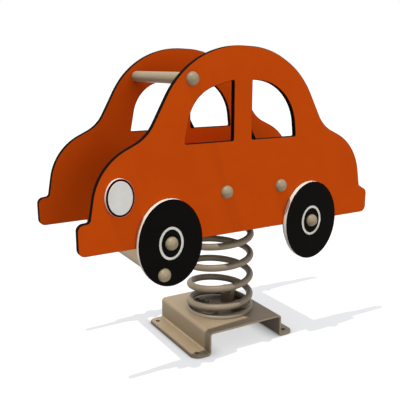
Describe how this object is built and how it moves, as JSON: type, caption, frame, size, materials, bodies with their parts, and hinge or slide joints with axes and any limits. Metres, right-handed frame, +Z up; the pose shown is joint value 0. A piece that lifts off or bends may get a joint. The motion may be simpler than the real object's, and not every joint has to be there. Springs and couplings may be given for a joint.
{
  "type": "spring rider",
  "caption": "Car-shaped playground spring rider: side panels with wheels and lamps on a seat carrier, rocking on a coil spring above a folded ground bracket.",
  "frame": {"origin": "on the ground, on the spring's axis, in the middle of the four anchor holes", "axes": "+X to the front of the car, +Y to its left side, +Z up"},
  "size_m": [0.904, 0.402, 0.8335],
  "materials": {
    "panel_orange": "satin",
    "wheel_black": "satin",
    "lamp_white": "satin",
    "cap_tan": "satin",
    "tan_powder_coat": "satin",
    "zinc_steel": "satin"
  },
  "bodies": {
    "ground": {"ground_bracket": "tan_powder_coat", "lower_spring_claws": "tan_powder_coat", "lower_claw_bolts": "zinc_steel", "lower_claw_washers": "zinc_steel", "lower_claw_nuts": "zinc_steel"},
    "spring": {"spring": "tan_powder_coat"},
    "rider": {"upper_spring_claws": "tan_powder_coat", "upper_claw_screws": "zinc_steel", "upper_claw_washers": "zinc_steel", "upper_claw_nuts": "zinc_steel", "seat_carrier": "tan_powder_coat", "seat_board": "panel_orange", "seat_bolts": "zinc_steel", "seat_washers": "zinc_steel", "seat_nuts": "zinc_steel", "left_panel": "panel_orange", "right_panel": "panel_orange", "carrier_bolts": "zinc_steel", "carrier_washers": "zinc_steel", "carrier_nuts": "zinc_steel", "carrier_caps": "cap_tan", "handlebar": "tan_powder_coat", "handlebar_plugs": "zinc_steel", "handlebar_bolts": "zinc_steel", "handlebar_washers": "zinc_steel", "handlebar_caps": "cap_tan", "footrest": "tan_powder_coat", "footrest_plugs": "zinc_steel", "footrest_bolts": "zinc_steel", "footrest_washers": "zinc_steel", "footrest_caps": "cap_tan", "front_left_wheel": "wheel_black", "front_right_wheel": "wheel_black", "rear_left_wheel": "wheel_black", "rear_right_wheel": "wheel_black", "hub_bolts": "zinc_steel", "hub_washers": "zinc_steel", "hub_nuts": "zinc_steel", "hub_caps": "cap_tan", "left_headlight": "lamp_white", "right_headlight": "lamp_white", "headlight_pins": "zinc_steel"}
  },
  "joints": [
    {"name": "rock_fore_aft", "type": "hinge", "parent": "ground", "child": "spring", "pos_m": [0, 0, 0.276], "axis": [0, 1, 0], "range_deg": [-20, 20], "stiffness_Nm_per_rad": 360, "springref_deg": -1.43, "deforming": ["spring"]},
    {"name": "rock_sideways", "type": "hinge", "parent": "spring", "child": "rider", "pos_m": [0, 0, 0.276], "axis": [1, 0, 0], "range_deg": [-15, 15], "stiffness_Nm_per_rad": 360, "deforming": ["spring"]}
  ]
}
